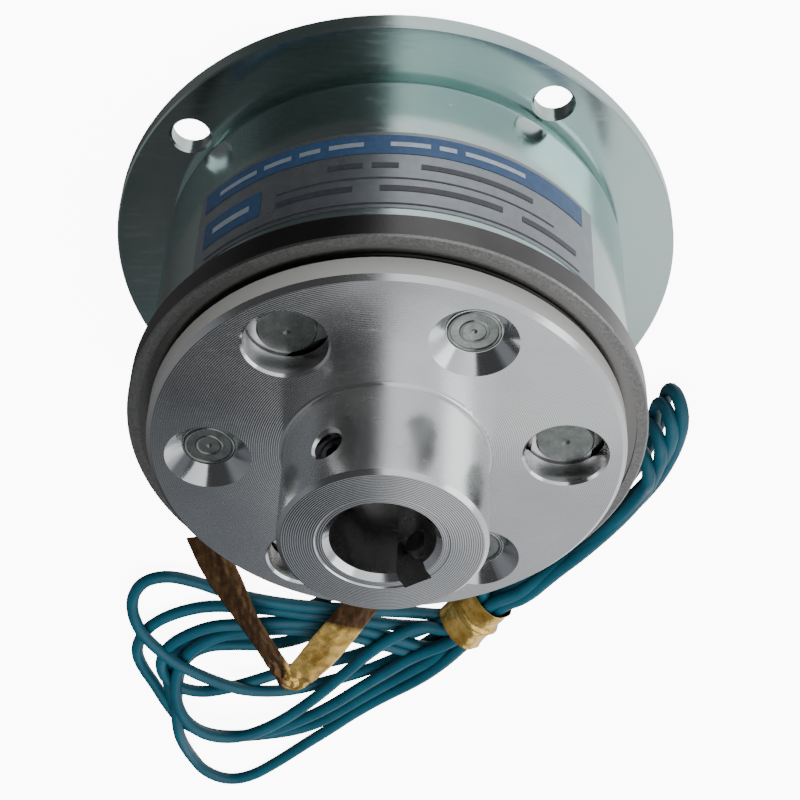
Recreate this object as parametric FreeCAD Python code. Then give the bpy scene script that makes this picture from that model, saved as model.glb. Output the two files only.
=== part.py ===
# Flange-mounted, stationary-field electromagnetic clutch with a keyed hub. Millimetres.
# The origin is the centre of the flange's mounting face, and +Z runs along the shaft axis up to the hub.
# The label faces -Y, and the two coil leads leave the drum towards +Y and lie on the floor in a tied hank.
import FreeCAD, Part
import math
import os

# Mounting flange
FLANGE_R = 50.0
FLANGE_T = 3.5
FLANGE_PCD_R = 44.0
FLANGE_HOLE_R = 3.3
FLANGE_HOLE_ANGLES = [-35.5 + 90 * k for k in range(4)]
POLE_R_IN = 17.0

# Field core: the zinc-plated drum that holds the coil
DRUM_R = 40.7
DRUM_TOP = 40.2
DRUM_WALL_R = 37.6
DRUM_BASE_ROUND = 3.7
BACK_WALL_TOP = 10.0
INNER_POLE_R = 22.0
INNER_POLE_TOP = 35.0

# Coil
BOBBIN_R = 22.3
BOBBIN_WALL = 1.2
BOBBIN_RIM_R = 37.3
BOBBIN_Z = (10.2, 28.2)
WINDING_R = 34.6
TAPE_T = 0.5
RESIN_T = 1.4

# Leads, their grommet and the tied hank
LEAD_D = 2.65
LEAD_SPACING = 3.2
LEAD_EXIT_Z = 12.5
GROMMET_W = 7.6
GROMMET_H = 4.6
GROMMET_COLLAR = 0.9
GROMMET_COLLAR_Y = 42.2
SPLICE_R = 1.0
SPLICE_Y = 36.35
SPLICE_Z = (14.2, 24.5)
CONDUCTOR_R = 0.6
HANK_H = 9.0
TIE_CENTRE = (-20.4, 97.0)
TIE_HEADING = 62.0
TIE_LENGTH = 12.6
TIE_W = 11.0
TIE_H = 8.0
TIE_Z = 5.5
TIE_TILT = 55.0
TIE_FOIL = 0.35
RIBBON_W = 7.2
RIBBON_FOIL = 0.5
TIP_R = 0.7
TIP_LENGTH = 7.0

# Rotor
SHAFT_R = 8.5
KEY_W = 5.0
KEY_DEPTH = 2.3
ROTOR_BOTTOM = 1.0
ROTOR_TOP = 42.1
ROTOR_SLEEVE_R = 16.6
ROTOR_DISC_Z = 36.0
ROTOR_POLE_R = (33.6, 37.2)
ROTOR_POLE_Z = 30.2
ROTOR_LIP_R = 39.6
ROTOR_LIP_T = 1.5
LINING_R = (27.0, 31.0)
SLOT_R = (23.2, 25.2)
SLOT_SPAN = 100.0

# Armature and plate spring
AIR_GAP = 0.3
ARMATURE_R = (18.0, 43.0)
ARMATURE_TOP = 47.5
ARMATURE_RELIEF_R = (38.9, 41.1)
ARMATURE_RELIEF = 0.25
SPRING_R = (24.0, 34.0)
SPRING_T = 0.5
RIVET_PCD_R = 29.3
ARMATURE_RIVET_ANGLES = (-56.0, 64.0, -176.0)
HUB_RIVET_ANGLES = (4.0, 124.0, -116.0)
RIVET_SHANK_R = 3.0
RIVET_CLEARANCE_R = 5.5
RIVET_HEAD_R = 4.8
RIVET_FLUSH_R = 3.9

# Hub
HUB_R = 39.3
HUB_FACE = 52.8
HUB_TOP = 71.7
BOSS_R = 16.8
HUB_CHAMFER = 0.8
BORE_CHAMFER = 1.0
WINDOW_R = 6.75
SINK_R = (4.5, 7.15)
SINK_FLOOR = 50.2
SEAT_R = 4.4
SEAT_Z = 49.4
KEY_ANGLE = 124.0
SCREW_ANGLES = (-56.0, 124.0)
SCREW_Z = 63.6
SCREW_R = 2.5
SCREW_SINK = 2.0
SCREW_LENGTH = 5.0

# Rating label
LABEL_T = 0.15
LABEL_SPAN = 104.0
LABEL_Z = (19.6, 38.4)

ARMATURE_BOTTOM = ROTOR_TOP + AIR_GAP
SPRING_TOP = ARMATURE_TOP + SPRING_T
HUB_BOTTOM = SPRING_TOP
UP = FreeCAD.Vector(0, 0, 1)
ORIGIN = FreeCAD.Vector(0, 0, 0)

# The routes run from inside the grommet over the flange's edge and down to the floor, and end in the hank.
LEAD_A_ROUTE = (
    (1.6, 38.0, 12.5), (1.6, 46.5, 12.5), (1.7, 55.5, 10.4), (2.1, 64.5, 5.6),
    (2.8, 74.0, 2.2), (4.1, 83.5, 1.4), (6.6, 92.2, 1.4), (11.2, 100.0, 1.4),
    (17.8, 105.4, 1.4),
)
LEAD_B_ROUTE = (
    (-1.6, 38.0, 12.5), (-1.6, 46.5, 12.5), (-1.8, 55.8, 10.2), (-2.3, 65.0, 5.2),
    (-2.7, 74.5, 2.0), (-2.4, 84.2, 1.4), (-0.8, 93.6, 1.4), (3.2, 102.0, 1.4),
    (9.6, 108.2, 1.4),
)

# The hank's outline on the floor, from its narrow folds round the loose loops and back.
HANK_OUTLINE = (
    (-53.8, 29.2), (-57.0, 32.5), (-57.8, 40.0), (-56.6, 48.0), (-52.3, 60.5), (-43.8, 73.9),
    (-35.2, 85.2), (-29.0, 94.5), (-22.5, 106.0), (-15.5, 117.6), (-4.2, 135.2), (9.6, 150.8),
    (20.0, 162.0), (28.5, 170.5), (36.0, 172.4), (42.0, 168.8), (45.0, 159.5), (48.0, 148.0),
    (53.0, 136.0), (56.0, 124.0), (55.0, 112.5), (56.0, 101.5), (52.5, 93.0), (45.5, 90.8),
    (37.5, 93.0), (27.0, 96.6), (14.0, 98.2), (2.0, 98.8), (-7.0, 99.6), (-12.0, 97.5),
    (-13.6, 88.5), (-12.4, 81.5), (-15.5, 77.8), (-20.0, 76.6), (-25.5, 74.5), (-33.0, 64.5),
    (-39.0, 54.5), (-42.6, 46.5), (-44.0, 38.5), (-47.5, 32.0),
)
RIBBON_VERTEX = (19.0, 121.0)
RIBBON_ENDS = ((36.6, 72.8), (3.0, 91.0))
TIPS = (((-18.7, 79.2), -80.0), ((-14.4, 79.8), -58.0))


def turned(outline):
    """A solid of revolution about Z. A point is (r, z), or (r, z, via_r, via_z) where an arc leads to it."""
    edges = []
    start = FreeCAD.Vector(outline[-1][0], 0, outline[-1][1])
    for point in outline:
        end = FreeCAD.Vector(point[0], 0, point[1])
        if len(point) == 4:
            via = FreeCAD.Vector(point[2], 0, point[3])
            edges.append(Part.Arc(start, via, end).toShape())
        else:
            edges.append(Part.LineSegment(start, end).toShape())
        start = end
    return Part.Face(Part.Wire(edges)).revolve(ORIGIN, UP, 360)


def ring(r_in, r_out, z0, z1, chamfer=0.0):
    """A turned ring with its four edges broken."""
    c = chamfer
    if c == 0:
        return turned([(r_in, z0), (r_out, z0), (r_out, z1), (r_in, z1)])
    return turned([
        (r_in + c, z0), (r_out - c, z0), (r_out, z0 + c), (r_out, z1 - c),
        (r_out - c, z1), (r_in + c, z1), (r_in, z1 - c), (r_in, z0 + c),
    ])


def around(shape, radius, angles):
    """Copies of a shape made on the Z axis, moved out to a radius at each angle."""
    copies = []
    for angle in angles:
        copy = shape.copy()
        copy.translate(FreeCAD.Vector(radius, 0, 0))
        copy.rotate(ORIGIN, UP, angle)
        copies.append(copy)
    return copies


def drill(solid, tools):
    for tool in tools:
        solid = solid.cut(tool)
    return solid


def cylinder(radius, z0, z1):
    return Part.makeCylinder(radius, z1 - z0, FreeCAD.Vector(0, 0, z0))


def cone(r0, z0, r1, z1):
    return Part.makeCone(r0, r1, z1 - z0, FreeCAD.Vector(0, 0, z0))


def chamfered_hole(radius, z0, z1, chamfer):
    """A drill for a through hole with both its edges chamfered."""
    lower = cone(radius + chamfer, z0, radius, z0 + chamfer)
    upper = cone(radius, z1 - chamfer, radius + chamfer, z1)
    return cylinder(radius, z0 - 1, z1 + 1).fuse([lower, upper])


def keyway(z0, z1, angle):
    """A cutter for the slot of a parallel key along the shaft bore."""
    cutter = Part.makeBox(SHAFT_R + KEY_DEPTH, KEY_W, z1 - z0 + 2, FreeCAD.Vector(0, -KEY_W / 2, z0 - 1))
    cutter.rotate(ORIGIN, UP, angle)
    return cutter


def rounded_bar(width, height, radius, y0, y1):
    """A bar along Y with a rounded rectangular section, centred on the Y axis."""
    bar = Part.makeBox(width, y1 - y0, height, FreeCAD.Vector(-width / 2, y0, -height / 2))
    return bar.makeFillet(radius, [e for e in bar.Edges if abs(e.tangentAt(0).y) > 0.99])


def mounting_flange():
    plate = ring(POLE_R_IN, FLANGE_R, 0, FLANGE_T, 0.3)
    return drill(plate, around(chamfered_hole(FLANGE_HOLE_R, 0, FLANGE_T, 0.4), FLANGE_PCD_R, FLANGE_HOLE_ANGLES))


def lead_hole():
    hole = rounded_bar(GROMMET_W, GROMMET_H, GROMMET_H / 2 - 0.01, DRUM_WALL_R - 2, DRUM_R + 2)
    hole.translate(FreeCAD.Vector(0, 0, LEAD_EXIT_Z))
    return hole


def field_core():
    """The drum with its back wall and inner pole; the foot of the drum is rounded in to the flange."""
    r = DRUM_BASE_ROUND
    mid = r * (1 - math.sqrt(0.5))
    drum = turned([
        (POLE_R_IN, FLANGE_T), (DRUM_R - r, FLANGE_T), (DRUM_R, FLANGE_T + r, DRUM_R - mid, FLANGE_T + mid),
        (DRUM_R, DRUM_TOP - 1), (DRUM_R - 1, DRUM_TOP), (DRUM_WALL_R + 0.3, DRUM_TOP), (DRUM_WALL_R, DRUM_TOP - 0.3),
        (DRUM_WALL_R, BACK_WALL_TOP), (INNER_POLE_R, BACK_WALL_TOP), (INNER_POLE_R, INNER_POLE_TOP - 0.5),
        (INNER_POLE_R - 0.5, INNER_POLE_TOP), (POLE_R_IN + 0.3, INNER_POLE_TOP), (POLE_R_IN, INNER_POLE_TOP - 0.3),
    ])
    return drum.cut(lead_hole())


def coil_bobbin():
    z0, z1 = BOBBIN_Z
    w = BOBBIN_WALL
    return turned([
        (BOBBIN_R, z0), (BOBBIN_RIM_R, z0), (BOBBIN_RIM_R, z0 + w), (BOBBIN_R + w, z0 + w),
        (BOBBIN_R + w, z1 - w), (BOBBIN_RIM_R, z1 - w), (BOBBIN_RIM_R, z1), (BOBBIN_R, z1),
    ])


def coil_winding():
    return ring(BOBBIN_R + BOBBIN_WALL, WINDING_R, BOBBIN_Z[0] + BOBBIN_WALL, BOBBIN_Z[1] - BOBBIN_WALL)


def coil_tape():
    return ring(WINDING_R, WINDING_R + TAPE_T, BOBBIN_Z[0] + BOBBIN_WALL, BOBBIN_Z[1] - BOBBIN_WALL)


def potting_resin():
    return ring(BOBBIN_R, BOBBIN_RIM_R, BOBBIN_Z[1], BOBBIN_Z[1] + RESIN_T)


def lead_x(side):
    return side * LEAD_SPACING / 2


def lead_grommet():
    """A rubber bush in the drum's wall with one hole for each lead."""
    body = rounded_bar(GROMMET_W, GROMMET_H, GROMMET_H / 2 - 0.01, DRUM_WALL_R, GROMMET_COLLAR_Y - 0.1)
    collar = rounded_bar(
        GROMMET_W + 2 * GROMMET_COLLAR, GROMMET_H + 2 * GROMMET_COLLAR, GROMMET_H / 2 + GROMMET_COLLAR - 0.01,
        DRUM_R - 1.5, GROMMET_COLLAR_Y,
    )
    body.translate(FreeCAD.Vector(0, 0, LEAD_EXIT_Z))
    collar.translate(FreeCAD.Vector(0, 0, LEAD_EXIT_Z))
    bush = body.fuse(collar.cut(cylinder(DRUM_R, 0, DRUM_TOP))).removeSplitter()
    for side in (-1, 1):
        start = FreeCAD.Vector(lead_x(side), DRUM_WALL_R - 3, LEAD_EXIT_Z)
        bush = bush.cut(Part.makeCylinder(LEAD_D / 2, 8, start, FreeCAD.Vector(0, 1, 0)))
    return bush


def lead_splices():
    """The sleeved joints between the winding's wire and the leads, with the bare bend into each lead."""
    splices = []
    for side in (-1, 1):
        foot = FreeCAD.Vector(lead_x(side), SPLICE_Y, LEAD_EXIT_Z)
        reach = LEAD_A_ROUTE[0][1] - SPLICE_Y
        sleeve = cylinder(SPLICE_R, *SPLICE_Z)
        sleeve.translate(FreeCAD.Vector(foot.x, foot.y, 0))
        riser = Part.makeCylinder(CONDUCTOR_R, SPLICE_Z[0] - LEAD_EXIT_Z, foot)
        stub = Part.makeCylinder(CONDUCTOR_R, reach, foot, FreeCAD.Vector(0, 1, 0))
        corner = Part.makeSphere(CONDUCTOR_R, foot)
        splices.append(sleeve.fuse([riser, stub, corner]))
    return Part.makeCompound(splices)


def tube(name, route, diameter):
    """A round tube along straight runs joined by tangent arcs, each as large as its two runs allow."""
    points = [FreeCAD.Vector(*p) for p in route]
    edges = []
    radii = []
    start = points[0]
    for before, corner, after in zip(points, points[1:], points[2:]):
        into = (corner - before).normalize()
        out = (after - corner).normalize()
        turn = into.getAngle(out)
        reach = 0.45 * min((corner - before).Length, (after - corner).Length)
        radius = reach / math.tan(turn / 2)
        entry = corner - into * reach
        leave = corner + out * reach
        inward = (out - into).normalize()
        middle = corner + inward * (radius / math.cos(turn / 2) - radius)
        edges.append(Part.LineSegment(start, entry).toShape())
        edges.append(Part.Arc(entry, middle, leave).toShape())
        radii.append(round(radius, 1))
        start = leave
    edges.append(Part.LineSegment(start, points[-1]).toShape())
    path = Part.Wire(edges)
    section = Part.Wire(Part.makeCircle(diameter / 2, points[0], points[1] - points[0]))
    solid = path.makePipeShell([section], True, False)
    expected = math.pi * diameter ** 2 / 4 * path.Length
    print(name, "radii", radii, "length", round(path.Length, 1), "volume ratio", round(solid.Volume / expected, 4))
    return solid


def in_tie_frame(shape):
    """Moves a shape made along Y with its middle at the origin to the tie's place on the hank."""
    shape.rotate(ORIGIN, UP, TIE_HEADING - 90)
    shape.translate(FreeCAD.Vector(TIE_CENTRE[0], TIE_CENTRE[1], TIE_Z))
    return shape


def tie_block(shrink):
    """The leaning, flattened section of the bundle inside its tie."""
    half = TIE_LENGTH / 2
    bar = rounded_bar(TIE_W - 2 * shrink, TIE_H - 2 * shrink, TIE_H / 2 - 0.2 - shrink, -half, half)
    bar.rotate(ORIGIN, FreeCAD.Vector(0, 1, 0), TIE_TILT)
    return in_tie_frame(bar)


def tie_wrap():
    return tie_block(0).cut(tie_block(TIE_FOIL))


def lead_hank():
    """The outer shape of the tied bundle and of the loops that fan out from it."""
    curve = Part.BSplineCurve()
    curve.interpolate([FreeCAD.Vector(x, y, 0) for x, y in HANK_OUTLINE], PeriodicFlag=True)
    block = Part.Face(Part.Wire(curve.toShape())).extrude(FreeCAD.Vector(0, 0, HANK_H))
    waist = rounded_bar(3 * TIE_W, 3 * HANK_H, 0.5, -TIE_LENGTH / 2, TIE_LENGTH / 2)
    return block.cut(in_tie_frame(waist)).fuse(tie_block(TIE_FOIL))


def tie_ribbon():
    """A second strip of foil, bent in a V, which lies on top of the loops."""
    vertex = FreeCAD.Vector(RIBBON_VERTEX[0], RIBBON_VERTEX[1], HANK_H)
    arms = []
    for x, y in RIBBON_ENDS:
        run = FreeCAD.Vector(x, y, HANK_H) - vertex
        arm = Part.makeBox(run.Length, RIBBON_W, RIBBON_FOIL, FreeCAD.Vector(0, -RIBBON_W / 2, 0))
        arm.rotate(ORIGIN, UP, math.degrees(math.atan2(run.y, run.x)))
        arm.translate(vertex)
        arms.append(arm)
    pad = Part.makeCylinder(RIBBON_W / 2, RIBBON_FOIL, vertex)
    return arms[0].fuse([arms[1], pad]).removeSplitter()


def lead_tips(hank):
    """The bare, tinned end of each lead, which starts inside the hank's edge and lies on the floor."""
    tips = []
    for (x, y), heading in TIPS:
        direction = FreeCAD.Vector(math.cos(math.radians(heading)), math.sin(math.radians(heading)), 0)
        start = FreeCAD.Vector(x, y, LEAD_D / 2 + 0.1)
        tips.append(Part.makeCylinder(TIP_R, TIP_LENGTH, start, direction).cut(hank))
    return Part.makeCompound(tips)


def rotor():
    """The steel wheel on the driving shaft, with its flux slots and the groove for the lining."""
    z_lip = ROTOR_TOP - ROTOR_LIP_T
    pole_in, pole_out = ROTOR_POLE_R
    wheel = turned([
        (SHAFT_R + 0.5, ROTOR_BOTTOM), (ROTOR_SLEEVE_R - 0.5, ROTOR_BOTTOM), (ROTOR_SLEEVE_R, ROTOR_BOTTOM + 0.5),
        (ROTOR_SLEEVE_R, ROTOR_DISC_Z), (pole_in, ROTOR_DISC_Z), (pole_in, ROTOR_POLE_Z), (pole_out, ROTOR_POLE_Z),
        (pole_out, z_lip), (ROTOR_LIP_R, z_lip), (ROTOR_LIP_R, ROTOR_TOP), (SHAFT_R + 0.5, ROTOR_TOP),
        (SHAFT_R, ROTOR_TOP - 0.5), (SHAFT_R, ROTOR_BOTTOM + 0.5),
    ])
    wheel = wheel.cut(ring(*LINING_R, z_lip, ROTOR_TOP + 1))
    slot = Part.Face(Part.makePolygon([
        FreeCAD.Vector(SLOT_R[0], 0, ROTOR_DISC_Z - 1), FreeCAD.Vector(SLOT_R[1], 0, ROTOR_DISC_Z - 1),
        FreeCAD.Vector(SLOT_R[1], 0, ROTOR_TOP + 1), FreeCAD.Vector(SLOT_R[0], 0, ROTOR_TOP + 1),
        FreeCAD.Vector(SLOT_R[0], 0, ROTOR_DISC_Z - 1),
    ])).revolve(ORIGIN, UP, SLOT_SPAN)
    wheel = drill(wheel, around(slot, 0, (10, 130, 250)))
    return wheel.cut(keyway(ROTOR_BOTTOM, ROTOR_TOP, KEY_ANGLE))


def friction_lining():
    return ring(*LINING_R, ROTOR_TOP - ROTOR_LIP_T, ROTOR_TOP)


def armature_plate():
    """The steel ring that the coil pulls on to the rotor, with a shallow relief in its upper face."""
    relief_in, relief_out = ARMATURE_RELIEF_R
    r_in, r_out = ARMATURE_R
    plate = ring(r_in, r_out, ARMATURE_BOTTOM, ARMATURE_TOP, 0.3)
    plate = plate.cut(ring(relief_in, relief_out, ARMATURE_TOP - ARMATURE_RELIEF, ARMATURE_TOP + 1))
    flush = ARMATURE_BOTTOM + RIVET_HEAD_R - RIVET_SHANK_R
    rivet_hole = cylinder(RIVET_SHANK_R, ARMATURE_BOTTOM - 1, ARMATURE_TOP + 1).fuse(
        cone(RIVET_HEAD_R, ARMATURE_BOTTOM, RIVET_SHANK_R, flush))
    plate = drill(plate, around(rivet_hole, RIVET_PCD_R, ARMATURE_RIVET_ANGLES))
    clearance = chamfered_hole(RIVET_CLEARANCE_R, ARMATURE_BOTTOM, ARMATURE_TOP, 0.3)
    return drill(plate, around(clearance, RIVET_PCD_R, HUB_RIVET_ANGLES))


def plate_spring():
    """The thin ring that drives the armature and lifts it back off the rotor."""
    spring = ring(*SPRING_R, ARMATURE_TOP, SPRING_TOP)
    spring = drill(spring, around(cylinder(RIVET_SHANK_R, 0, HUB_TOP), RIVET_PCD_R, ARMATURE_RIVET_ANGLES))
    return drill(spring, around(cylinder(RIVET_SHANK_R + 0.3, 0, HUB_TOP), RIVET_PCD_R, HUB_RIVET_ANGLES))


def armature_rivets():
    """Flat heads on the spring, and tails peened flush into the armature's lower face."""
    tail = ARMATURE_BOTTOM + RIVET_HEAD_R - RIVET_FLUSH_R
    flush = ARMATURE_BOTTOM + RIVET_HEAD_R - RIVET_SHANK_R
    head = SPRING_TOP + 1.7
    rivet = turned([
        (0, tail), (RIVET_FLUSH_R, tail), (RIVET_SHANK_R, flush), (RIVET_SHANK_R, SPRING_TOP),
        (RIVET_HEAD_R, SPRING_TOP), (RIVET_HEAD_R, head - 0.3), (RIVET_HEAD_R - 0.3, head),
        (0.8, head), (0, head - 0.15),
    ])
    return Part.makeCompound(around(rivet, RIVET_PCD_R, ARMATURE_RIVET_ANGLES))


def hub_rivets():
    """Spun upper ends with a raised rim, an inner ring and a centre dimple, and flat heads below the spring."""
    face = SINK_FLOOR - 0.1
    head = ARMATURE_TOP - 1.9
    rim = SEAT_R - 0.1
    rivet = turned([
        (0, head), (RIVET_HEAD_R - 0.3, head), (RIVET_HEAD_R, head + 0.3), (RIVET_HEAD_R, ARMATURE_TOP),
        (RIVET_SHANK_R, ARMATURE_TOP), (RIVET_SHANK_R, SEAT_Z), (rim, SEAT_Z),
        (rim, face), (rim - 0.6, face, rim - 0.3, face + 0.25), (2.4, face), (1.8, face, 2.1, face + 0.15),
        (0.5, face), (0, face - 0.3),
    ])
    return Part.makeCompound(around(rivet, RIVET_PCD_R, HUB_RIVET_ANGLES))


def radial(shape, angle, z):
    """Turns a shape made along +Z so that it points outwards from the axis at an angle and a height."""
    shape.rotate(ORIGIN, FreeCAD.Vector(0, 1, 0), 90)
    shape.translate(FreeCAD.Vector(0, 0, z))
    shape.rotate(ORIGIN, UP, angle)
    return shape


def hub():
    """The turned hub: a drilled disc and a keyed boss in one piece."""
    c = HUB_CHAMFER
    root = 0.8
    bow = root * (1 - math.sqrt(0.5))
    body = turned([
        (SHAFT_R + 0.5, HUB_BOTTOM), (HUB_R - 0.3, HUB_BOTTOM), (HUB_R, HUB_BOTTOM + 0.3), (HUB_R, HUB_FACE - c),
        (HUB_R - c, HUB_FACE), (BOSS_R + root, HUB_FACE),
        (BOSS_R, HUB_FACE + root, BOSS_R + bow, HUB_FACE + bow), (BOSS_R, HUB_TOP - 0.7), (BOSS_R - 0.7, HUB_TOP),
        (SHAFT_R + 2.3, HUB_TOP), (SHAFT_R + 2.1, HUB_TOP - 0.2), (SHAFT_R + BORE_CHAMFER, HUB_TOP - 0.2),
        (SHAFT_R, HUB_TOP - 0.2 - BORE_CHAMFER), (SHAFT_R, HUB_BOTTOM + 0.5),
    ])
    window = chamfered_hole(WINDOW_R, HUB_BOTTOM, HUB_FACE, 0.4)
    sink = cone(SINK_R[0], SINK_FLOOR, SINK_R[1], HUB_FACE).fuse([
        cylinder(SINK_R[1], HUB_FACE, HUB_FACE + 1), cylinder(SEAT_R, SEAT_Z, SINK_FLOOR),
        cylinder(RIVET_SHANK_R, HUB_BOTTOM - 1, SEAT_Z),
    ])
    body = drill(body, around(window, RIVET_PCD_R, ARMATURE_RIVET_ANGLES))
    body = drill(body, around(sink, RIVET_PCD_R, HUB_RIVET_ANGLES))
    for angle in SCREW_ANGLES:
        hole = cylinder(SCREW_R, 0, BOSS_R + 1).fuse(cone(SCREW_R, BOSS_R - 0.6, SCREW_R + 0.9, BOSS_R + 0.3))
        body = body.cut(radial(hole, angle, SCREW_Z))
    return body.cut(keyway(HUB_BOTTOM, HUB_TOP, KEY_ANGLE))


def set_screws():
    """Two socket set screws below the surface of the boss, one on the shaft and one on the key."""
    screws = []
    for angle in SCREW_ANGLES:
        end = BOSS_R - SCREW_SINK
        socket = Part.makePolygon([
            FreeCAD.Vector(1.44 * math.cos(math.radians(60 * k)), 1.44 * math.sin(math.radians(60 * k)), end - 2)
            for k in range(7)
        ])
        body = turned([
            (0, end - SCREW_LENGTH), (SCREW_R - 0.5, end - SCREW_LENGTH), (SCREW_R, end - SCREW_LENGTH + 0.5),
            (SCREW_R, end - 0.3), (SCREW_R - 0.3, end), (0, end),
        ])
        body = body.cut(Part.Face(socket).extrude(FreeCAD.Vector(0, 0, 3)))
        screws.append(radial(body, angle, SCREW_Z))
    return Part.makeCompound(screws)


def rating_label():
    """A thin sleeve of printed foil on the near half of the drum."""
    sheet = Part.Face(Part.makePolygon([
        FreeCAD.Vector(DRUM_R, 0, LABEL_Z[0]), FreeCAD.Vector(DRUM_R + LABEL_T, 0, LABEL_Z[0]),
        FreeCAD.Vector(DRUM_R + LABEL_T, 0, LABEL_Z[1]), FreeCAD.Vector(DRUM_R, 0, LABEL_Z[1]),
        FreeCAD.Vector(DRUM_R, 0, LABEL_Z[0]),
    ])).revolve(ORIGIN, UP, LABEL_SPAN)
    sheet.rotate(ORIGIN, UP, -90 - LABEL_SPAN / 2)
    return sheet


def build():
    hank = lead_hank()
    return {
        "mounting_flange": mounting_flange(),
        "field_core": field_core(),
        "rating_label": rating_label(),
        "coil_bobbin": coil_bobbin(),
        "coil_winding": coil_winding(),
        "coil_tape": coil_tape(),
        "potting_resin": potting_resin(),
        "lead_splices": lead_splices(),
        "lead_grommet": lead_grommet(),
        "lead_a": tube("lead_a", LEAD_A_ROUTE, LEAD_D).cut(hank),
        "lead_b": tube("lead_b", LEAD_B_ROUTE, LEAD_D).cut(hank),
        "lead_hank": hank,
        "lead_tips": lead_tips(hank),
        "tie_wrap": tie_wrap(),
        "tie_ribbon": tie_ribbon(),
        "rotor": rotor(),
        "friction_lining": friction_lining(),
        "armature_plate": armature_plate(),
        "plate_spring": plate_spring(),
        "armature_rivets": armature_rivets(),
        "hub": hub(),
        "hub_rivets": hub_rivets(),
        "set_screws": set_screws(),
    }


os.makedirs("parts", exist_ok=True)
for node, shape in build().items():
    if not shape.isValid():
        print("not valid:", node)
    print(node, "solids", len(shape.Solids), "volume", round(shape.Volume, 1))
    shape.exportStep("parts/" + node + ".step")
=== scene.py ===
"""Looks of the electromagnetic clutch: camera, light, materials, printed label, coil leads and foil ties."""
import bpy
import math
from mathutils import Matrix, Vector, noise

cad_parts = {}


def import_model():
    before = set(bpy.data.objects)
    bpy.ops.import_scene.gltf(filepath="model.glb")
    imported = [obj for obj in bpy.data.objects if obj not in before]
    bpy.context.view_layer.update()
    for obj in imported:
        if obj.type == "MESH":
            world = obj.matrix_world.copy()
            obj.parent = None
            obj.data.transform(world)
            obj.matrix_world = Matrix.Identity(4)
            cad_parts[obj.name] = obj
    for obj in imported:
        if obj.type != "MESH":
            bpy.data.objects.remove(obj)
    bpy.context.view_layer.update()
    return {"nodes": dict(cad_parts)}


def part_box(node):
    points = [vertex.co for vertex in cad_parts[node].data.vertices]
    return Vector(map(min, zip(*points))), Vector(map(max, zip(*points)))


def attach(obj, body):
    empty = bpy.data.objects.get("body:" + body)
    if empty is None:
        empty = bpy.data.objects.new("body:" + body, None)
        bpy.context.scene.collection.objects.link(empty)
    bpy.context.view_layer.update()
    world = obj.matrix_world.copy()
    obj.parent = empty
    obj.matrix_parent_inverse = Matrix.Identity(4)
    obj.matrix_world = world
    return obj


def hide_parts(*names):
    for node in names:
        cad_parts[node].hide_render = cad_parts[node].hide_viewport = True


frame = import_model()
NODES = frame["nodes"]


# ---------------------------------------------------------------- sizes, in metres, from the frame

LABEL_R = -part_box("rating_label")[0].y
LABEL_LOW, LABEL_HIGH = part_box("rating_label")[0].z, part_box("rating_label")[1].z
TIE_CENTRE = (Vector(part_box("tie_wrap")[0]) + Vector(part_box("tie_wrap")[1])) / 2
TIE_ALONG = Vector((math.cos(math.radians(62)), math.sin(math.radians(62)), 0))
TIE_ACROSS = Vector((-TIE_ALONG.y, TIE_ALONG.x, 0))
LEAD_D = 0.00265
FLOOR_Z = 0.0

# Where one finish gives way to another, as (start, end) of the change.
HUB_RIM_FROM_RADIUS = (0.0360, 0.0365)
BOSS_END_FROM_HEIGHT = (0.0700, 0.0712)
WORN_STRIP_FROM_RADIUS = (0.0409, 0.0412)
# The next four place the foil's painted shade: along its +X arm, and at the hub end of its other arm.
SHADED_ARM_FROM_X = (0.0190, 0.0205)
HUB_SHADE_SLOPE = 0.24
HUB_SHADE_FROM_LINE = (0.1022, 0.1004)
HUB_SHADE_FROM_X = (-0.005, -0.002)
TOOL_MARK_PITCH = 0.00036
WINDING_PITCH = 0.0005

# Routes of the two leads from the grommet to the hank, the same points as in the CAD source.
LEAD_A_ROUTE = (
    (0.0016, 0.0380, 0.0125), (0.0016, 0.0465, 0.0125), (0.0017, 0.0555, 0.0104), (0.0021, 0.0645, 0.0056),
    (0.0028, 0.0740, 0.0022), (0.0041, 0.0835, 0.0014), (0.0066, 0.0922, 0.0014), (0.0112, 0.1000, 0.0014),
    (0.0178, 0.1054, 0.0014),
)
LEAD_B_ROUTE = (
    (-0.0016, 0.0380, 0.0125), (-0.0016, 0.0465, 0.0125), (-0.0018, 0.0558, 0.0102),
    (-0.0023, 0.0650, 0.0052), (-0.0027, 0.0745, 0.0020), (-0.0024, 0.0842, 0.0014),
    (-0.0008, 0.0936, 0.0014), (0.0032, 0.1020, 0.0014), (0.0096, 0.1082, 0.0014),
)

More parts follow.
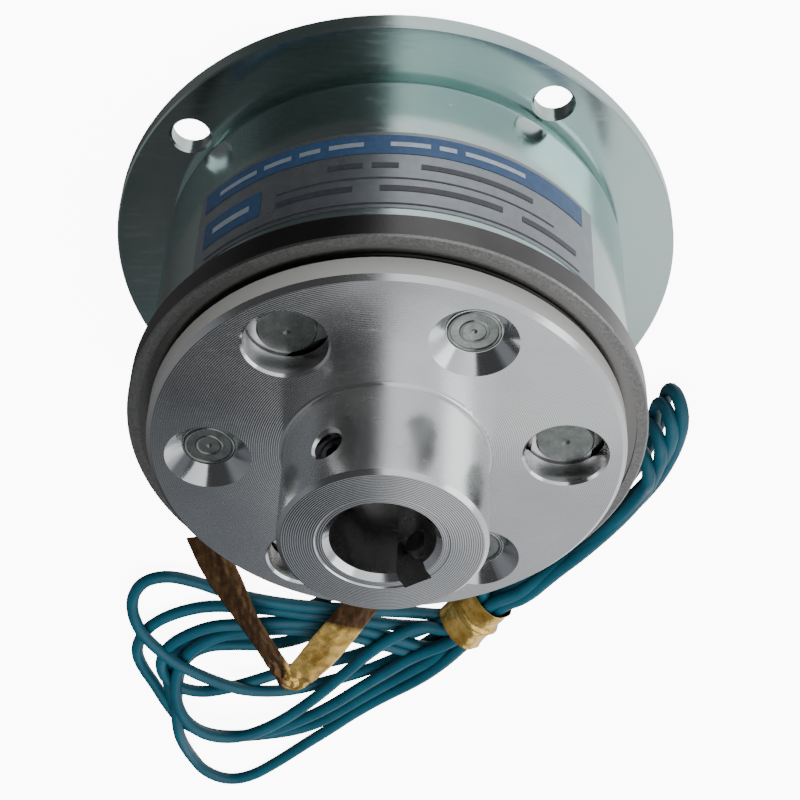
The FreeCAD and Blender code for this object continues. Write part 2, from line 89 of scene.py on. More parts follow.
# The loose loops beyond the tie, each from its upper strand round the tip to its lower strand.
# The fourth and fifth start where the two leads come in.
LOOPS = {
    "first": (
        (-0.0070, 0.1020, 0.0026), (0.0000, 0.1003, 0.0040), (0.0080, 0.1001, 0.0041),
        (0.0150, 0.0998, 0.0041), (0.0215, 0.0992, 0.0040), (0.0275, 0.0984, 0.0036),
        (0.0335, 0.0968, 0.0034), (0.0392, 0.0942, 0.0032), (0.0455, 0.0924, 0.0032),
        (0.0512, 0.0948, 0.0034), (0.0538, 0.1020, 0.0036), (0.0523, 0.1105, 0.0042),
        (0.0480, 0.1154, 0.0056), (0.0430, 0.1192, 0.0070), (0.0350, 0.1250, 0.0066),
        (0.0288, 0.1294, 0.0052), (0.0198, 0.1314, 0.0032), (0.0105, 0.1292, 0.0015),
        (0.0025, 0.1250, 0.0014), (-0.0050, 0.1194, 0.0014), (-0.0115, 0.1128, 0.0018),
    ),
    "second": (
        (-0.0090, 0.1066, 0.0028), (-0.0010, 0.1050, 0.0038), (0.0070, 0.1031, 0.0041),
        (0.0150, 0.1025, 0.0041), (0.0235, 0.1021, 0.0034), (0.0322, 0.1031, 0.0022),
        (0.0380, 0.1038, 0.0020), (0.0438, 0.1060, 0.0022), (0.0485, 0.1092, 0.0024),
        (0.0520, 0.1140, 0.0022), (0.0538, 0.1205, 0.0018), (0.0528, 0.1268, 0.0014),
        (0.0503, 0.1330, 0.0014), (0.0480, 0.1400, 0.0014), (0.0448, 0.1475, 0.0014),
        (0.0394, 0.1516, 0.0014), (0.0323, 0.1524, 0.0014), (0.0242, 0.1506, 0.0014),
        (0.0176, 0.1484, 0.0014), (0.0116, 0.1444, 0.0014), (0.0055, 0.1376, 0.0014),
        (-0.0008, 0.1303, 0.0020), (-0.0066, 0.1222, 0.0038), (-0.0120, 0.1134, 0.0064),
    ),
    "third": (
        (-0.0120, 0.1120, 0.0050), (-0.0040, 0.1098, 0.0040), (0.0050, 0.1062, 0.0041),
        (0.0130, 0.1052, 0.0042), (0.0215, 0.1048, 0.0046), (0.0295, 0.1057, 0.0050),
        (0.0362, 0.1064, 0.0052), (0.0422, 0.1106, 0.0050), (0.0462, 0.1152, 0.0046),
        (0.0482, 0.1215, 0.0042), (0.0476, 0.1272, 0.0038), (0.0447, 0.1312, 0.0036),
        (0.0398, 0.1327, 0.0036), (0.0350, 0.1314, 0.0036), (0.0295, 0.1290, 0.0034),
        (0.0246, 0.1272, 0.0026), (0.0200, 0.1254, 0.0018), (0.0135, 0.1232, 0.0014),
        (0.0062, 0.1204, 0.0014), (-0.0012, 0.1152, 0.0016), (-0.0082, 0.1082, 0.0028),
    ),
    "fourth": (
        (0.0245, 0.1124, 0.0014), (0.0310, 0.1138, 0.0014), (0.0380, 0.1148, 0.0014),
        (0.0432, 0.1184, 0.0014), (0.0460, 0.1230, 0.0014), (0.0475, 0.1292, 0.0014),
        (0.0466, 0.1362, 0.0020), (0.0438, 0.1440, 0.0034), (0.0388, 0.1482, 0.0040),
        (0.0310, 0.1486, 0.0040), (0.0235, 0.1458, 0.0040), (0.0165, 0.1410, 0.0040),
        (0.0098, 0.1350, 0.0040), (0.0035, 0.1278, 0.0040), (-0.0025, 0.1204, 0.0048),
        (-0.0080, 0.1130, 0.0060),
    ),
    "fifth": (
        (0.0165, 0.1142, 0.0014), (0.0235, 0.1171, 0.0014), (0.0310, 0.1174, 0.0014),
        (0.0378, 0.1182, 0.0014), (0.0424, 0.1222, 0.0014), (0.0446, 0.1280, 0.0016),
        (0.0452, 0.1360, 0.0036), (0.0452, 0.1450, 0.0054), (0.0442, 0.1530, 0.0038),
        (0.0428, 0.1605, 0.0018), (0.0402, 0.1668, 0.0014), (0.0350, 0.1702, 0.0014),
        (0.0290, 0.1684, 0.0014), (0.0222, 0.1614, 0.0014), (0.0158, 0.1538, 0.0014),
        (0.0104, 0.1478, 0.0014), (0.0046, 0.1408, 0.0014), (-0.0022, 0.1328, 0.0022),
        (-0.0086, 0.1240, 0.0046), (-0.0138, 0.1142, 0.0074),
    ),
    "sixth": (
        (-0.0110, 0.1148, 0.0044), (-0.0030, 0.1128, 0.0040), (0.0050, 0.1094, 0.0041),
        (0.0130, 0.1080, 0.0041), (0.0215, 0.1078, 0.0041), (0.0300, 0.1094, 0.0041),
        (0.0370, 0.1124, 0.0041), (0.0418, 0.1176, 0.0041), (0.0443, 0.1238, 0.0042),
        (0.0452, 0.1302, 0.0050), (0.0444, 0.1366, 0.0062), (0.0412, 0.1426, 0.0068),
        (0.0362, 0.1456, 0.0068), (0.0295, 0.1452, 0.0064), (0.0218, 0.1404, 0.0056),
        (0.0141, 0.1312, 0.0056), (0.0071, 0.1206, 0.0058), (0.0009, 0.1106, 0.0064),
        (-0.0052, 0.1040, 0.0066), (-0.0095, 0.1024, 0.0058),
    ),
}

# The outermost strand of the bundle, from the tie to the narrow folds.
BUNDLE = (
    (-0.0317, 0.0886), (-0.0368, 0.0804), (-0.0427, 0.0724), (-0.0497, 0.0609), (-0.0541, 0.0510),
    (-0.0557, 0.0437), (-0.0560, 0.0382),
)
FOLD_R = 0.0039
FOLD_TILT = math.radians(71)
STACK_IN, STACK_UP = 0.0018, 0.0017
FLOOR_GAP = 0.0001
RUN_IN_BEFORE_FOLD = 0.003
CONTROL_STANDOFF = 1.08
FOLD_CENTRE_Y = (0.0340, 0.0362, 0.0402, 0.0450)
TIE_TILT = math.radians(55)
TIE_PITCH, TIE_ROW = 0.00245, 0.00215
TIE_STATIONS = (0.0078, 0.0026, -0.0026, -0.0078)
OUTER_SLOT = TIE_PITCH * math.cos(TIE_TILT) + TIE_ROW * math.sin(TIE_TILT)

# Each step is a loop, the tie's slot that the wire goes out through, the slot it comes back through, as
# (place, layer), and the number of the fold between them. The last loop has one slot, and then the tail.
PASSES_A = (("fourth", (1, 1), (-1.5, 0), 0), ("first", (-1, -1), (0, -1), 1))
LAST_A = ("sixth", (0, 1))
PASSES_B = (("fifth", (1.5, 0), (-0.5, 0), 2), ("second", (1, -1), (0.5, 0), 3))
LAST_B = ("third", (-1, 1))
TAIL_A = ((-0.0196, 0.0862, 0.0046), (-0.0192, 0.0818, 0.0024), (-0.0185, 0.0781, 0.0014))
TAIL_B = ((-0.0170, 0.0856, 0.0026), (-0.0155, 0.0816, 0.0014), (-0.0138, 0.0788, 0.0014))


# ---------------------------------------------------------------- small helpers

COLOUR_MIX_INPUTS = (0, 6, 7)
COLOUR_MIX_OUTPUT = 2
OBJECT_COORDINATES = 3


def feed(tree, socket, value):
    """Links a node's output to the socket, or sets the socket to a constant."""
    if isinstance(value, bpy.types.NodeSocket):
        tree.links.new(value, socket)
    else:
        socket.default_value = value


def mix_colours(tree, factor, first, second):
    node = tree.nodes.new("ShaderNodeMix")
    node.data_type = "RGBA"
    for index, value in zip(COLOUR_MIX_INPUTS, (factor, first, second)):
        feed(tree, node.inputs[index], value)
    return node.outputs[COLOUR_MIX_OUTPUT]


class Look:
    """A procedural material, built up one shader node at a time. Each call returns the new node's output."""

    def __init__(self, name, **surface):
        self.material = bpy.data.materials.new(name)
        self.material.use_nodes = True
        self.tree = self.material.node_tree
        self.surface = self.tree.nodes["Principled BSDF"]
        self.finish(**surface)

    def feed(self, socket, value):
        feed(self.tree, socket, value)

    def add(self, kind, *values, output=0, **settings):
        node = self.tree.nodes.new("ShaderNode" + kind)
        for key, value in settings.items():
            setattr(node, key, value)
        for socket, value in zip(node.inputs, values):
            self.feed(socket, value)
        return node.outputs[output]

    def math(self, operation, *values):
        return self.add("Math", *values, operation=operation)

    def place(self):
        return self.add("TexCoord", output=OBJECT_COORDINATES)

    def split(self, vector):
        node = self.tree.nodes.new("ShaderNodeSeparateXYZ")
        self.feed(node.inputs[0], vector)
        return node.outputs

    def radius(self):
        x, y = self.split(self.place())[:2]
        return self.math("SQRT", self.math("ADD", self.math("MULTIPLY", x, x), self.math("MULTIPLY", y, y)))

    def noise(self, scale, detail=4.0, roughness=0.55, stretch=(1, 1, 1)):
        where = self.add("VectorMath", self.place(), stretch, operation="MULTIPLY")
        node = self.tree.nodes.new("ShaderNodeTexNoise")
        self.feed(node.inputs["Vector"], where)
        node.inputs["Scale"].default_value = scale
        node.inputs["Detail"].default_value = detail
        node.inputs["Roughness"].default_value = roughness
        return node.outputs[0]

    def span(self, value, low, high, to_low=0.0, to_high=1.0):
        node = self.tree.nodes.new("ShaderNodeMapRange")
        for socket, item in zip(node.inputs, (value, low, high, to_low, to_high)):
            self.feed(socket, item)
        return node.outputs[0]

    def mix(self, factor, first, second):
        return mix_colours(self.tree, factor, first, second)

    def bump(self, height, distance, strength=1.0, after=None):
        node = self.tree.nodes.new("ShaderNodeBump")
        node.inputs["Strength"].default_value = strength
        node.inputs["Distance"].default_value = distance
        self.feed(node.inputs["Height"], height)
        if after is not None:
            self.feed(node.inputs["Normal"], after)
        return node.outputs[0]

    def round_tangent(self):
        node = self.tree.nodes.new("ShaderNodeTangent")
        node.direction_type = "RADIAL"
        node.axis = "Z"
        return node.outputs[0]

    def coned(self, slope):
        """The surface's normal, leant away from the shaft axis on upward faces, as feed marks lean it."""
        x, y = self.split(self.place())[:2]
        outward = self.add("VectorMath", self.add("CombineXYZ", x, y, 0.0), operation="NORMALIZE")
        normal = self.tree.nodes.new("ShaderNodeNewGeometry").outputs["Normal"]
        facing = self.math("MAXIMUM", self.split(normal)[2], 0.0)
        lean = self.add("VectorMath", outward, operation="SCALE")
        self.feed(lean.node.inputs["Scale"], self.math("MULTIPLY", facing, slope))
        leant = self.add("VectorMath", normal, lean, operation="ADD")
        return self.add("VectorMath", leant, operation="NORMALIZE")

    def finish(self, **surface):
        for socket, value in surface.items():
            self.feed(self.surface.inputs[socket.replace("_", " ")], value)
        return self.material


def shade(red, green, blue):
    return (red, green, blue, 1.0)


def paint(node, material):
    mesh = NODES[node].data
    mesh.materials.clear()
    mesh.materials.append(material)


def mesh_piece(name, points, faces, material):
    mesh = bpy.data.meshes.new(name)
    mesh.from_pydata(points, [], faces)
    mesh.materials.append(material)
    mesh.shade_smooth()
    piece = bpy.data.objects.new(name, mesh)
    bpy.context.scene.collection.objects.link(piece)
    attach(piece, "stator")
    return piece


def grid_faces(rows, columns, closed=False):
    faces = []
    for i in range(rows - 1):
        for j in range(columns if closed else columns - 1):
            k = (j + 1) % columns
            faces.append((i * columns + j, i * columns + k, (i + 1) * columns + k, (i + 1) * columns + j))
    return faces


# ---------------------------------------------------------------- camera, floor and light

def camera():
    """Looks down on the label side, rolled by half a turn so that the hub points down the picture."""
    distance = 0.37215
    elevation = math.radians(49.16)
    aim_right, aim_up = math.radians(-0.32), math.radians(4.33)
    roll = math.radians(182.5)
    place = Vector((0, -distance * math.cos(elevation), distance * math.sin(elevation)))
    ahead = -place.normalized()
    right = Vector((1, 0, 0))
    up = right.cross(ahead)
    ahead = (ahead + math.tan(aim_right) * right + math.tan(aim_up) * up).normalized()
    right = (right - ahead * right.dot(ahead)).normalized()
    up = right.cross(ahead)
    across = math.cos(roll) * right + math.sin(roll) * up
    upward = across.cross(ahead)
    data = bpy.data.cameras.new("camera")
    data.lens = 92.0
    data.sensor_width = 36.0
    data.clip_start = 0.01
    view = bpy.data.objects.new("camera", data)
    turn = Matrix((across, upward, -ahead)).transposed()
    view.matrix_world = Matrix.Translation(place) @ turn.to_4x4()
    bpy.context.scene.collection.objects.link(view)
    bpy.context.scene.camera = view


def floor():
    look = Look("floor_white", Roughness=0.9, Emission_Color=shade(1, 1, 1), Emission_Strength=9.0)
    tone = look.span(look.noise(6.0), 0.3, 0.7)
    mesh = bpy.data.meshes.new("floor")
    size = 3.0
    square = [(-size, -size, 0), (size, -size, 0), (size, size, 0), (-size, size, 0)]
    mesh.from_pydata(square, [], [(0, 1, 2, 3)])
    white = look.mix(tone, shade(0.90, 0.90, 0.90), shade(0.93, 0.93, 0.93))
    mesh.materials.append(look.finish(Base_Color=white))
    piece = bpy.data.objects.new("floor", mesh)
    piece.location.z = FLOOR_Z
    bpy.context.scene.collection.objects.link(piece)
    piece.visible_glossy = False
    piece.visible_diffuse = False


def world():
    """A studio split into a bright -X half and a dark +X half, which the plated and turned faces mirror."""
    sky = bpy.data.worlds.new("studio")
    sky.use_nodes = True
    bpy.context.scene.world = sky
    tree = sky.node_tree
    where = tree.nodes.new("ShaderNodeTexCoord")
    split = tree.nodes.new("ShaderNodeSeparateXYZ")
    tree.links.new(where.outputs["Generated"], split.inputs[0])

    def ramp(socket, low, high, stops):
        span = tree.nodes.new("ShaderNodeMapRange")
        span.inputs["From Min"].default_value = low
        span.inputs["From Max"].default_value = high
        tree.links.new(socket, span.inputs["Value"])
        node = tree.nodes.new("ShaderNodeValToRGB")
        while len(node.color_ramp.elements) < len(stops):
            node.color_ramp.elements.new(0.5)
        for element, (position, value) in zip(node.color_ramp.elements, stops):
            element.position = position
            element.color = shade(value, value, value)
        tree.links.new(span.outputs[0], node.inputs["Fac"])
        return node.outputs["Color"]

    halves = ramp(split.outputs["X"], 1.0, -1.0, (
        (0.0, 0.26), (0.28, 0.065), (0.46, 0.07), (0.485, 0.13), (0.505, 0.85), (0.54, 1.15), (0.72, 1.35),
        (1.0, 1.05),
    ))
    softer = ramp(split.outputs["Z"], 0.3, 0.8, ((0.0, 0.0), (0.2, 0.6), (0.66, 0.6), (0.82, 0.0)))
    room = mix_colours(tree, softer, halves, shade(0.27, 0.29, 0.31))
    front = ramp(split.outputs["Y"], -0.1, -0.5, ((0.0, 0.0), (0.5, 1.0)))
    wall = ramp(split.outputs["X"], 1.0, -1.0, (
        (0.0, 0.07), (0.46, 0.07), (0.495, 1.45), (0.65, 1.30), (1.0, 0.85),
    ))
    tree.links.new(mix_colours(tree, front, room, wall), tree.nodes["Background"].inputs["Color"])
    tree.nodes["Background"].inputs["Strength"].default_value = 1.0


def panel(name, place, size, power, seen=True):
    data = bpy.data.lights.new(name, "AREA")
    data.shape = "SQUARE"
    data.size = size
    data.energy = power
    lamp = bpy.data.objects.new(name, data)
    lamp.location = place
    lamp.rotation_euler = (-Vector(place)).to_track_quat("-Z", "Y").to_euler()
    lamp.visible_glossy = seen
    bpy.context.scene.collection.objects.link(lamp)


def lights():
    panel("overhead_panel", (0.0, -0.1, 1.4), 1.6, 40.0, seen=False)
    panel("window_panel", (-1.0, -0.1, 0.8), 0.7, 3.0)


# ---------------------------------------------------------------- materials

def zinc(name, lean):
    look = Look(name, Metallic=1.0, Anisotropic=0.3)
    cloud = look.span(look.noise(38.0, 3.0), 0.35, 0.68)
    fine = look.noise(900.0, 2.0)
    scratch = look.noise(160.0, 6.0, 0.7, (1.0, 7.0, 5.0))
    colour = look.mix(cloud, shade(0.43, 0.575, 0.555), shade(0.53, 0.635, 0.62))
    colour = look.mix(look.span(scratch, 0.66, 0.72), colour, shade(0.70, 0.76, 0.74))
    height = look.math("ADD", look.math("MULTIPLY", fine, 0.4), look.noise(30.0, 2.0))
    rough = look.math("ADD", look.span(cloud, 0, 1, 0.13, 0.17), look.span(scratch, 0.5, 0.8, 0.0, 0.10))
    normal = look.bump(height, 0.00002, 0.5, look.coned(lean))
    return look.finish(Base_Color=colour, Roughness=rough, Normal=normal, Tangent=look.round_tangent())


def turned_metal():
    """Light alloy with the fine rings that a lathe tool leaves, drawn on its upward flat faces."""
    look = Look("turned_metal", Anisotropic=0.6)
    radius, height = look.radius(), look.split(look.place())[2]
    facing = look.split(look.tree.nodes.new("ShaderNodeNewGeometry").outputs["Normal"])[2]
    side = look.span(look.math("ABSOLUTE", facing), 0.5, 0.2)
    flat = look.span(facing, 0.80, 0.95)
    rim = look.math("MULTIPLY", side, look.span(radius, *HUB_RIM_FROM_RADIUS))
    rings = look.math("SINE", look.math("MULTIPLY", radius, 2 * math.pi / TOOL_MARK_PITCH))
    drift = look.noise(60.0, 3.0)
    scratch = look.noise(210.0, 6.0, 0.72, (1.0, 5.0, 3.0))
    colour = look.mix(look.span(drift, 0.35, 0.65), shade(0.60, 0.615, 0.64), shade(0.68, 0.69, 0.70))
    colour = look.mix(look.span(scratch, 0.68, 0.74), colour, shade(0.82, 0.82, 0.82))
    boss_end = look.span(height, *BOSS_END_FROM_HEIGHT, 0.12, 0.80)
    trough = look.span(rings, -1.0, 0.4, 1.0, 0.0)
    groove = look.math("MULTIPLY", look.math("MULTIPLY", trough, boss_end), flat)
    # Painted sheen: side faces, the boss wall among them, get a lighter base colour than the flat faces so
    # that they read brighter.
    colour = look.mix(side, colour, shade(0.90, 0.90, 0.90))
    colour = look.mix(groove, look.mix(rim, colour, shade(0.56, 0.56, 0.54)), shade(0.12, 0.13, 0.14))
    rough = look.math("ADD", look.span(drift, 0.3, 0.7, 0.12, 0.17), look.span(scratch, 0.55, 0.8, 0.0, 0.08))
    rough = look.math("ADD", rough, look.math("MULTIPLY", side, 0.09))
    rough = look.math("ADD", rough, look.math("MULTIPLY", rim, 0.25))
    metal = look.span(rim, 0.0, 1.0, 1.0, 0.35)
    normal = look.bump(look.math("MULTIPLY", rings, flat), 0.000008, 0.7, look.coned(0.05))
    normal = look.bump(scratch, 0.00002, 0.3, normal)
    tangent = look.round_tangent()
    return look.finish(Base_Color=colour, Metallic=metal, Roughness=rough, Normal=normal, Tangent=tangent)


def armature_steel():
    """Dark steel, worn brighter along the outer strip of its upper face, with painted light: a lighter grey
    on its upward faces.
    """
    look = Look("armature_steel", Metallic=1.0)
    radius = look.radius()
    normal = look.tree.nodes.new("ShaderNodeNewGeometry").outputs["Normal"]
    upward = look.span(look.split(normal)[2], 0.3, 0.7)
    strip = look.math("MULTIPLY", look.span(radius, *WORN_STRIP_FROM_RADIUS), upward)
    pits = look.noise(2600.0, 3.0, 0.7)
    grey = look.mix(look.noise(120.0), shade(0.065, 0.065, 0.067), shade(0.115, 0.113, 0.112))
    # Painted light: upward faces take a lighter grey than the sides, lifting the shade they lie in under the
    # hub.
    grey = look.mix(upward, grey, shade(0.24, 0.235, 0.23))
    wear_and_shade = look.mix(look.span(pits, 0.36, 0.66), shade(0.19, 0.19, 0.19), shade(0.30, 0.30, 0.30))
    rough = look.span(strip, 0, 1, 0.26, 0.33)
    bump = look.bump(pits, 0.00003, 0.5)
    return look.finish(Base_Color=look.mix(strip, grey, wear_and_shade), Roughness=rough, Normal=bump)


def plain(name, low, high, metallic, rough, scale=150.0, depth=0.00003, **surface):
    """A material whose colour and polish wander between two values over a fine grain."""
    look = Look(name, Metallic=metallic, **surface)
    grain = look.noise(scale)
    colour = look.mix(look.span(grain, 0.35, 0.65), shade(*low), shade(*high))
    polish = look.span(look.noise(scale * 3), 0.3, 0.7, rough - 0.05, rough + 0.05)
    return look.finish(Base_Color=colour, Roughness=polish, Normal=look.bump(grain, depth, 0.5))


def wire_jacket():
    look = Look("wire_jacket", Specular_IOR_Level=0.25)
    tone = look.span(look.noise(90.0, 3.0), 0.35, 0.65)
    scuff = look.noise(1400.0, 3.0)
    colour = look.mix(tone, shade(0.004, 0.040, 0.062), shade(0.007, 0.056, 0.084))
    rough = look.span(scuff, 0.3, 0.7, 0.36, 0.48)
    return look.finish(Base_Color=colour, Roughness=rough, Normal=look.bump(scuff, 0.00002, 0.4))


def gold_foil():
    """Crinkled golden foil, with painted shade in dark brown along the strip's +X arm and at the hub end of
    its other arm.
    """
    look = Look("gold_foil", Metallic=0.9)
    crease = look.tree.nodes.new("ShaderNodeTexVoronoi")
    crease.feature = "DISTANCE_TO_EDGE"
    crease.inputs["Scale"].default_value = 300.0
    look.feed(crease.inputs["Vector"], look.place())
    blotch = look.span(look.noise(260.0, 4.0), 0.36, 0.64)
    x, y = look.split(look.place())[:2]
    # Painted shade: the +X arm and the hub end of the other arm take a dark brown in place of the gold.
    shaded_arm = look.span(x, *SHADED_ARM_FROM_X)
    hub_side = look.span(look.math("ADD", y, look.math("MULTIPLY", x, HUB_SHADE_SLOPE)), *HUB_SHADE_FROM_LINE)
    wear_and_shade = look.math("MULTIPLY", hub_side, look.span(x, *HUB_SHADE_FROM_X))
    painted_shade_mask = look.math("MAXIMUM", shaded_arm, wear_and_shade)
    bright = look.mix(blotch, shade(0.52, 0.30, 0.060), shade(0.92, 0.63, 0.19))
    streak = look.span(look.noise(150.0, 3.0, 0.6, (4.0, 0.7, 1.0)), 0.40, 0.66)
    # The dark brown of the painted shade, streaked.
    shade_brown = look.mix(streak, shade(0.075, 0.038, 0.018), shade(0.16, 0.088, 0.038))
    rough = look.span(look.noise(800.0, 2.0), 0.3, 0.7, 0.20, 0.32)
    normal = look.bump(look.noise(500.0, 3.0), 0.00012, 0.5, look.bump(crease.outputs[0], 0.0002, 0.4))
    return look.finish(Base_Color=look.mix(painted_shade_mask, bright, shade_brown), Roughness=rough, Normal=normal)


def label_foil():
    look = Look("label_foil", Metallic=0.8, Coat_Weight=0.1)
    grain = look.noise(500.0, 3.0)
    colour = look.mix(look.span(grain, 0.3, 0.7), shade(0.23, 0.255, 0.285), shade(0.28, 0.30, 0.325))
    rough = look.span(look.noise(90.0), 0.3, 0.7, 0.26, 0.33)
    return look.finish(Base_Color=colour, Roughness=rough, Normal=look.bump(grain, 0.00001, 0.4))


def ink(name, low, high, metallic=0.0):
    return plain(name, low, high, metallic, 0.38, 900.0, 0.000005)


def winding():
    """Fine enamelled turns, one above the other."""
    look = Look("copper_winding", Metallic=0.8, Roughness=0.35)
    turns = look.math("SINE", look.math("MULTIPLY", look.split(look.place())[2], 2 * math.pi / WINDING_PITCH))
    colour = look.mix(look.noise(200.0), shade(0.36, 0.12, 0.045), shade(0.48, 0.18, 0.07))
    return look.finish(Base_Color=colour, Normal=look.bump(turns, 0.0001))


def dress_nodes():
    paint("mounting_flange", zinc("zinc_flange", 0.05))
    paint("field_core", zinc("zinc_drum", 0.02))
    paint("hub", turned_metal())
    paint("armature_plate", armature_steel())
    paint("rating_label", label_foil())
    rivet = plain("rivet_zinc", (0.19, 0.21, 0.205), (0.27, 0.295, 0.285), 1.0, 0.30, 500.0)
    paint("hub_rivets", rivet)
    paint("armature_rivets", rivet)
    paint("rotor", plain("rotor_steel", (0.30, 0.30, 0.30), (0.40, 0.40, 0.40), 1.0, 0.35))
    paint("friction_lining", plain("lining", (0.10, 0.08, 0.06), (0.17, 0.14, 0.11), 0.0, 0.8, 900.0, 0.0001))
    paint("plate_spring", plain("spring_steel", (0.34, 0.34, 0.35), (0.42, 0.42, 0.43), 1.0, 0.3))
    paint("set_screws", plain("black_oxide", (0.018, 0.018, 0.02), (0.035, 0.035, 0.038), 0.6, 0.4, 600.0))
    paint("coil_bobbin", plain("bobbin_plastic", (0.02, 0.02, 0.022), (0.03, 0.03, 0.033), 0.0, 0.5))
    paint("coil_winding", winding())
    paint("coil_tape", plain("winding_tape", (0.50, 0.38, 0.06), (0.60, 0.46, 0.09), 0.0, 0.3))
    paint("potting_resin", plain("resin", (0.012, 0.012, 0.014), (0.025, 0.025, 0.028), 0.0, 0.25))
    paint("lead_splices", plain("splice_sleeve", (0.02, 0.02, 0.02), (0.04, 0.04, 0.04), 0.0, 0.5))
    paint("lead_grommet", plain("black_rubber", (0.015, 0.015, 0.015), (0.03, 0.03, 0.03), 0.0, 0.65, 700.0))
    paint("lead_tips", plain("tinned_copper", (0.55, 0.52, 0.46), (0.68, 0.66, 0.62), 1.0, 0.3, 900.0))


# ---------------------------------------------------------------- the leads and their hank

def slot_offset(place, layer):
    """How far across and how high a pass goes through the tie, which holds three leaning layers of places."""
    major, minor = TIE_PITCH * place, TIE_ROW * layer
    return (major * math.cos(TIE_TILT) - minor * math.sin(TIE_TILT),
            TIE_CENTRE.z + major * math.sin(TIE_TILT) + minor * math.cos(TIE_TILT))


def through_tie(slot, outward):
    across, height = slot_offset(*slot)
    points = []
    for along in TIE_STATIONS:
        spot = TIE_ALONG * along + TIE_ACROSS * across
        points.append((TIE_CENTRE.x + spot.x, TIE_CENTRE.y + spot.y, height))
    return points if outward else points[::-1]


def beside(i, inward):
    """A point beside the bundle's outermost strand, by its place in the list and the distance inwards."""
    before = Vector(BUNDLE[max(i - 1, 0)])
    after = Vector(BUNDLE[min(i + 1, len(BUNDLE) - 1)])
    run = (after - before).normalized()
    return (BUNDLE[i][0] - run.y * inward, BUNDLE[i][1] + run.x * inward)


def bundle_side(slot, inward, height, nearest):
    """Points down the bundle for a strand that drifts from its slot in the tie to its side of a fold."""
    across, slot_height = slot_offset(*slot)
    points = []
    for i in range(len(BUNDLE)):
        share = (i + 1) / len(BUNDLE)
        drift = (OUTER_SLOT - across) * (1 - share) + inward * share
        points.append((*beside(i, drift), slot_height * (1 - share) + height * share))
    return [point for point in points if point[1] > nearest]


def fold(going, coming, number):
    """Down the bundle from the tie, round a narrow bend that leans over, and back up the bundle."""
    across = 2 * FOLD_R * math.cos(FOLD_TILT)
    rise = 2 * FOLD_R * math.sin(FOLD_TILT)
    outer = STACK_IN * number
    low = LEAD_D / 2 + FLOOR_GAP + STACK_UP * number
    middle = Vector((*beside(len(BUNDLE) - 1, outer + across / 2), low + rise / 2))
    middle.y = FOLD_CENTRE_Y[number]
    nearest = middle.y + RUN_IN_BEFORE_FOLD
    out = bundle_side(going, outer, low + rise, nearest)
    back = bundle_side(coming, outer + across, low, nearest)
    inward = Vector((across / 2, 0, -rise / 2))
    bend = []
    for angle in map(math.radians, (0, 45, 90, 135, 180)):
        sideways = inward * math.cos(angle) * CONTROL_STANDOFF
        endways = Vector((0, 1, 0)) * FOLD_R * CONTROL_STANDOFF * math.sin(angle)
        bend.append(tuple(middle - sideways - endways))
    return [*through_tie(going, True), *out, *bend, *back[::-1], *through_tie(coming, False)]


def lead_points(route, passes, last, tail):
    points = list(route)
    for loop, going, coming, number in passes:
        points += [*LOOPS[loop], *fold(going, coming, number)]
    return [*points, *LOOPS[last[0]], *through_tie(last[1], True), *tail]


def wire(name, points, material):
    """A round wire on one smooth open spline with these control points."""
    curve = bpy.data.curves.new(name, "CURVE")
    curve.dimensions = "3D"
    curve.bevel_depth = LEAD_D / 2
    curve.bevel_resolution = 5
    curve.use_fill_caps = True
    spline = curve.splines.new("NURBS")
    spline.points.add(len(points) - 1)
    for control, point in zip(spline.points, points):
        control.co = (*point, 1.0)
    spline.order_u = 3
    spline.use_endpoint_u = True
    spline.resolution_u = 8
    curve.materials.append(material)
    piece = bpy.data.objects.new(name, curve)
    bpy.context.scene.collection.objects.link(piece)
    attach(piece, "stator")
    return piece


def leads(ties):
    jacket = wire_jacket()
    wire_a = wire("wire_a", lead_points(LEAD_A_ROUTE, PASSES_A, LAST_A, TAIL_A), jacket)
    wire_b = wire("wire_b", lead_points(LEAD_B_ROUTE, PASSES_B, LAST_B, TAIL_B), jacket)
    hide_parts("lead_a", "lead_hank")
    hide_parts("lead_b", "lead_hank")


# ---------------------------------------------------------------- foil ties

def foil_band(material):
    """Two turns of foil round the leaning bundle, with a raised seam where one laps the other."""
    rows, columns = 48, 120
    half_w, half_h, length, squareness = 0.0055, 0.0040, 0.0126, 2.4
    cos_tilt, sin_tilt = math.cos(TIE_TILT), math.sin(TIE_TILT)
    points = []
    for i in range(rows):
        v = i / (rows - 1) - 0.5
        seam = 0.00075 * math.exp(-((v + 0.02) / 0.035) ** 2) - 0.00040 * math.exp(-((v - 0.05) / 0.03) ** 2)
        flare = 0.0003 * abs(2 * v) ** 6
        for j in range(columns):
            u = 2 * math.pi * j / columns
            cosine, sine = math.cos(u), math.sin(u)
            swell = (abs(cosine) ** squareness + abs(sine) ** squareness) ** (-1 / squareness)
            crease = 0.00018 * noise.noise(Vector((cosine * 2.4, sine * 2.4, v * 7.0)))
            crumple = 0.00006 * noise.noise(Vector((cosine * 8.0, sine * 8.0, v * 30.0)))
            grow = seam + flare + crease + crumple
            major = (half_w * swell + grow) * cosine
            minor = (half_h * swell + grow) * sine
            spot = TIE_ALONG * (v * length) + TIE_ACROSS * (major * cos_tilt - minor * sin_tilt)
            high = TIE_CENTRE.z + major * sin_tilt + minor * cos_tilt
            points.append((TIE_CENTRE.x + spot.x, TIE_CENTRE.y + spot.y, max(high, 0.0002)))
    band = mesh_piece("foil_band", points, grid_faces(rows, columns, closed=True), material)
    thicken(band, 0.00012)
    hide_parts("tie_wrap")
    return band


def thicken(piece, thickness):
    modifier = piece.modifiers.new("thickness", "SOLIDIFY")
    modifier.thickness = thickness
    modifier.offset = 0.0


